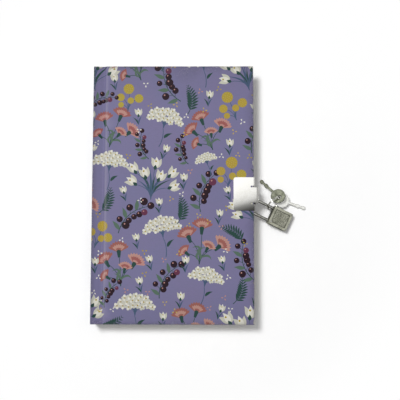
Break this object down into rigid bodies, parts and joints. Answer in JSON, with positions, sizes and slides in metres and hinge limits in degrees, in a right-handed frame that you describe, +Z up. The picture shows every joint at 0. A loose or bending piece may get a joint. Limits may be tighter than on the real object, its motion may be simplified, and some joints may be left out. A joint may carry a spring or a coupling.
{
  "type": "locking diary",
  "caption": "Hardback diary with a folded hasp on its fore-edge, held shut by a small hinged-shackle padlock with keys on a ring.",
  "frame": {"origin": "centre of the back cover's outer face, on which the closed diary rests", "axes": "+Z up through the closed book, +Y to its head, +X from the spine to the fore-edge"},
  "size_m": [0.175, 0.21, 0.0207],
  "materials": {
    "greyboard": "dense bookbinder's board",
    "printed_paper": "matt printed paper, lavender with a small floral print",
    "endpaper": "plain uncoated",
    "leaves": "uncoated writing paper, feint ruled",
    "spine_lining": "open-weave bookbinder's cloth",
    "bright_nickel": "bright nickel plate",
    "shackle_steel": "nickel plated wire",
    "padlock_steel": "brushed, grey-olive",
    "lock_brass": "turned",
    "ring_steel": "bright wire",
    "key_steel": "stamped, grey-olive",
    "bright_key_steel": "stamped, nickel plated"
  },
  "bodies": {
    "back_cover": {"back_board": "greyboard", "back_cover_paper": "printed_paper", "back_pastedown": "endpaper", "back_flyleaf": "endpaper", "back_spine_lining": "spine_lining", "back_hasp_plate": "bright_nickel", "signature_01": "leaves", "signature_02": "leaves", "signature_03": "leaves", "signature_04": "leaves", "signature_05": "leaves"},
    "spine": {"spine_board": "greyboard", "spine_paper": "printed_paper"},
    "front_cover": {"front_board": "greyboard", "front_cover_paper": "printed_paper", "front_pastedown": "endpaper", "front_hasp_plate": "bright_nickel"},
    "front_leaves": {"front_flyleaf": "endpaper", "front_spine_lining": "spine_lining", "signature_06": "leaves", "signature_07": "leaves", "signature_08": "leaves", "signature_09": "leaves", "signature_10": "leaves"},
    "shackle": {"shackle": "shackle_steel"},
    "padlock_case": {"padlock_case_front": "padlock_steel", "padlock_case_back": "padlock_steel", "heel_pin": "padlock_steel", "case_rivets": "padlock_steel"},
    "lock_plug": {"lock_plug": "lock_brass", "lock_cam": "lock_brass"},
    "key_ring": {"key_ring": "ring_steel"},
    "front_key": {"front_key": "key_steel"},
    "rear_key": {"rear_key": "bright_key_steel"}
  },
  "joints": [
    {"name": "spine_fold", "type": "hinge", "parent": "back_cover", "child": "spine", "pos_m": [-0.06427, 0, 0.00153], "axis": [0, -1, 0], "range_deg": [0, 89.8]},
    {"name": "front_cover_fold", "type": "hinge", "parent": "spine", "child": "front_cover", "pos_m": [-0.06427, 0, 0.01867], "axis": [0, -1, 0], "range_deg": [0, 89.8]},
    {"name": "front_leaves_turn", "type": "hinge", "parent": "back_cover", "child": "front_leaves", "pos_m": [-0.0619, 0, 0.0102], "axis": [0, -1, 0], "range_deg": [0, 179.6]},
    {"name": "padlock_swing", "type": "hinge", "parent": "back_cover", "child": "shackle", "pos_m": [0.0684, -0.00465, 0.0101], "axis": [-0.4226, -0.9063, 0], "range_deg": [0, 60]},
    {"name": "shackle_opening", "type": "hinge", "parent": "shackle", "child": "padlock_case", "pos_m": [0.07969, -0.02163, 0.00638], "axis": [-0.1897, 0.0884, -0.9779], "range_deg": [0, 90]},
    {"name": "plug_turn", "type": "hinge", "parent": "padlock_case", "child": "lock_plug", "pos_m": [0.0961, -0.02067, 0.00328], "axis": [0.8862, -0.4133, -0.2093], "range_deg": [0, 90]},
    {"name": "ring_swing", "type": "hinge", "parent": "shackle", "child": "key_ring", "pos_m": [0.07946, -0.00961, 0.00751], "axis": [0.8862, -0.4133, -0.2093], "range_deg": [0, 35]},
    {"name": "front_key_swing", "type": "hinge", "parent": "key_ring", "child": "front_key", "pos_m": [0.08745, -0.00213, 0.00826], "axis": [0.2402, -0.236, -0.9416], "range_deg": [0, 30]},
    {"name": "rear_key_swing", "type": "hinge", "parent": "key_ring", "child": "rear_key", "pos_m": [0.08821, -0.00356, 0.00469], "axis": [0.1697, -0.0568, 0.9839], "range_deg": [0, 30]}
  ],
  "couplings": [
    {"joint": "front_cover_fold", "follows": "spine_fold", "ratio": 1},
    {"joint": "front_leaves_turn", "follows": "spine_fold", "ratio": 2}
  ]
}
